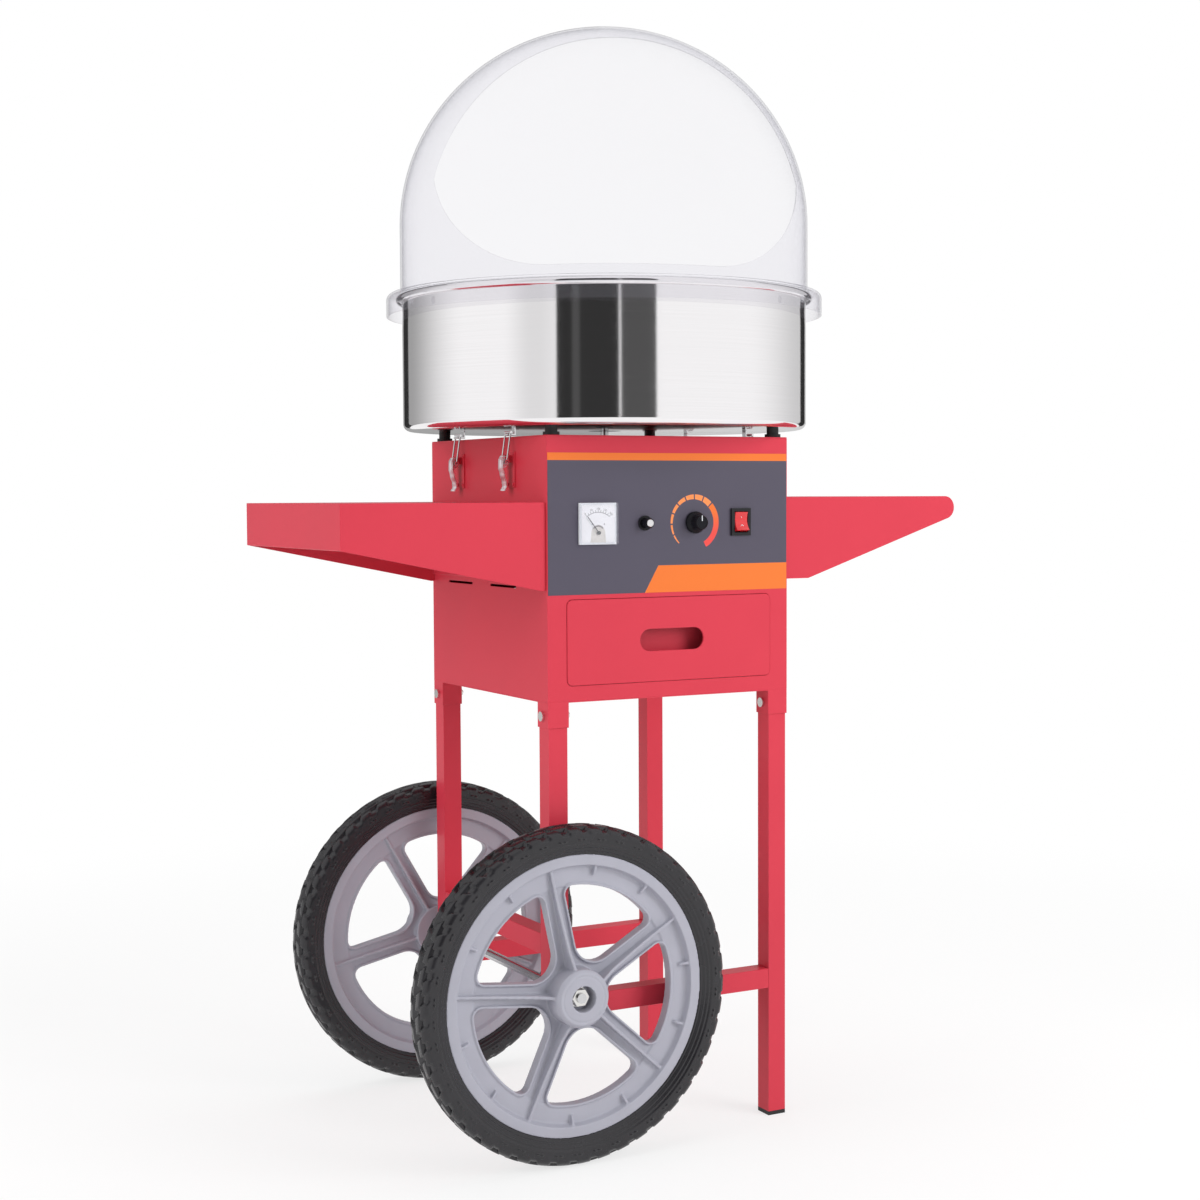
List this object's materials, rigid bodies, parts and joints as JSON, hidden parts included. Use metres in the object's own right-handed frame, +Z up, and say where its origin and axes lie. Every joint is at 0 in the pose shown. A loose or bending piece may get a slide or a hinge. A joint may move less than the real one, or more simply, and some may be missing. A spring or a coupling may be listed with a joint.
{
  "type": "cotton candy cart",
  "caption": "Cotton candy cart: a cabinet on legs and spoked wheels with a steel bowl, a spinning head, a clear dome, a drawer and side shelves.",
  "frame": {"origin": "on the ground, under the middle of the whole cart with its shelves", "axes": "+X to the right shelf, +Y to the back, +Z up"},
  "size_m": [0.8666, 0.5598, 1.3895],
  "materials": {
    "red_shell": "gloss",
    "red_top": "gloss",
    "red_base": "gloss",
    "red_drawer": "gloss",
    "red_box": "gloss",
    "red_shelf": "gloss",
    "red_leg": "gloss",
    "red_tube": "gloss",
    "panel_grey": "satin",
    "zinc": "satin",
    "black_plastic": "satin",
    "fuse_black": "satin",
    "knob_black": "satin",
    "dark_plastic": "matte",
    "white_dial": "matte",
    "clear_cover": "clear",
    "needle_black": "matte",
    "red_rocker": "gloss",
    "board_green": "matte",
    "motor_paint": "satin",
    "black_rubber": "matte",
    "brown_plastic": "matte",
    "steel": "polished",
    "ring_brass": "polished",
    "head_aluminium": "polished",
    "heater_steel": "matte",
    "bowl_steel": "brushed",
    "bright_steel": "polished",
    "wire_steel": "polished",
    "clear_dome": "clear",
    "bolt_zinc": "polished",
    "rim_grey": "satin",
    "tyre_rubber": "matte"
  },
  "bodies": {
    "cart": {"cabinet_shell": "red_shell", "top_plate": "red_top", "base_frame": "red_base", "control_overlay": "panel_grey", "drawer_runners": "zinc", "meter_body": "black_plastic", "meter_dial": "white_dial", "meter_cover": "clear_cover", "fuse_holder": "black_plastic", "speed_control": "dark_plastic", "switch_bezel": "black_plastic", "circuit_board": "board_green", "cable_gland": "black_plastic", "motor": "motor_paint", "motor_bracket": "zinc", "rubber_mounts": "black_rubber", "brush_block": "brown_plastic", "bowl": "bowl_steel", "bowl_catches": "bright_steel", "latch_bases": "bright_steel", "left_shelf": "red_shelf", "right_shelf": "red_shelf", "front_left_leg": "red_leg", "back_left_leg": "red_leg", "front_right_leg": "red_leg", "back_right_leg": "red_leg", "front_stretcher": "red_tube", "back_stretcher": "red_tube", "left_stretcher": "red_tube", "foot_caps": "black_rubber", "frame_bolts": "bolt_zinc", "axle": "steel", "axle_nuts": "bolt_zinc", "axle_spacers": "zinc"},
    "front_wheel": {"front_rim": "rim_grey", "front_tyre": "tyre_rubber"},
    "back_wheel": {"back_rim": "rim_grey", "back_tyre": "tyre_rubber"},
    "head": {"head_shaft": "steel", "slip_rings": "ring_brass", "head_pan": "head_aluminium", "heater_ring": "heater_steel", "head_mesh": "head_aluminium", "head_lid": "head_aluminium"},
    "drawer": {"drawer_front": "red_drawer", "drawer_box": "red_box"},
    "dome_cover": {"dome": "clear_dome"},
    "knob": {"control_knob": "knob_black"},
    "rocker": {"switch_rocker": "red_rocker"},
    "fuse_plug": {"fuse_cap": "fuse_black"},
    "needle": {"meter_needle": "needle_black"},
    "front_left_latch": {"front_left_lever": "bright_steel"},
    "front_left_wire": {"front_left_bail": "wire_steel"},
    "back_left_latch": {"back_left_lever": "bright_steel"},
    "back_left_wire": {"back_left_bail": "wire_steel"},
    "front_right_latch": {"front_right_lever": "bright_steel"},
    "front_right_wire": {"front_right_bail": "wire_steel"},
    "back_right_latch": {"back_right_lever": "bright_steel"},
    "back_right_wire": {"back_right_bail": "wire_steel"}
  },
  "joints": [
    {"name": "front_wheel_spin", "type": "hinge", "parent": "cart", "child": "front_wheel", "pos_m": [-0.16085, -0.201, 0.203], "axis": [0, 1, 0], "continuous": true},
    {"name": "back_wheel_spin", "type": "hinge", "parent": "cart", "child": "back_wheel", "pos_m": [-0.16085, 0.201, 0.203], "axis": [0, 1, 0], "continuous": true},
    {"name": "head_spin", "type": "hinge", "parent": "cart", "child": "head", "pos_m": [-0.00485, 0, 0.957], "axis": [0, 0, 1], "continuous": true},
    {"name": "drawer_slide", "type": "slide", "parent": "cart", "child": "drawer", "axis": [0, -1, 0], "range_m": [0, 0.24]},
    {"name": "dome_lift", "type": "slide", "parent": "cart", "child": "dome_cover", "axis": [0, 0, 1], "range_m": [0, 0.35]},
    {"name": "knob_turn", "type": "hinge", "parent": "cart", "child": "knob", "pos_m": [0.02915, -0.1704, 0.761], "axis": [0, 1, 0], "range_deg": [-135, 135]},
    {"name": "switch_rock", "type": "hinge", "parent": "cart", "child": "rocker", "pos_m": [0.09515, -0.1714, 0.761], "axis": [1, 0, 0], "range_deg": [0, 20]},
    {"name": "fuse_cap_turn", "type": "hinge", "parent": "cart", "child": "fuse_plug", "pos_m": [-0.04185, -0.1704, 0.761], "axis": [0, 1, 0], "range_deg": [0, 90]},
    {"name": "needle_swing", "type": "hinge", "parent": "cart", "child": "needle", "pos_m": [-0.10785, -0.1704, 0.75], "axis": [0, 1, 0], "range_deg": [0, 76], "stiffness_Nm_per_rad": 0.0004},
    {"name": "front_left_lever_turn", "type": "hinge", "parent": "cart", "child": "front_left_latch", "pos_m": [-0.18485, -0.075, 0.841], "axis": [0, 1, 0], "range_deg": [0, 100]},
    {"name": "front_left_bail_turn", "type": "hinge", "parent": "front_left_latch", "child": "front_left_wire", "pos_m": [-0.18485, -0.075, 0.836], "axis": [0, 1, 0], "range_deg": [-135, 0]},
    {"name": "back_left_lever_turn", "type": "hinge", "parent": "cart", "child": "back_left_latch", "pos_m": [-0.18485, 0.075, 0.841], "axis": [0, 1, 0], "range_deg": [0, 100]},
    {"name": "back_left_bail_turn", "type": "hinge", "parent": "back_left_latch", "child": "back_left_wire", "pos_m": [-0.18485, 0.075, 0.836], "axis": [0, 1, 0], "range_deg": [-135, 0]},
    {"name": "front_right_lever_turn", "type": "hinge", "parent": "cart", "child": "front_right_latch", "pos_m": [0.17515, -0.075, 0.841], "axis": [0, -1, 0], "range_deg": [0, 100]},
    {"name": "front_right_bail_turn", "type": "hinge", "parent": "front_right_latch", "child": "front_right_wire", "pos_m": [0.17515, -0.075, 0.836], "axis": [0, -1, 0], "range_deg": [-135, 0]},
    {"name": "back_right_lever_turn", "type": "hinge", "parent": "cart", "child": "back_right_latch", "pos_m": [0.17515, 0.075, 0.841], "axis": [0, -1, 0], "range_deg": [0, 100]},
    {"name": "back_right_bail_turn", "type": "hinge", "parent": "back_right_latch", "child": "back_right_wire", "pos_m": [0.17515, 0.075, 0.836], "axis": [0, -1, 0], "range_deg": [-135, 0]}
  ],
  "couplings": [
    {"joint": "front_left_bail_turn", "follows": "front_left_lever_turn", "ratio": -1.35},
    {"joint": "back_left_bail_turn", "follows": "back_left_lever_turn", "ratio": -1.35},
    {"joint": "front_right_bail_turn", "follows": "front_right_lever_turn", "ratio": -1.35},
    {"joint": "back_right_bail_turn", "follows": "back_right_lever_turn", "ratio": -1.35}
  ]
}
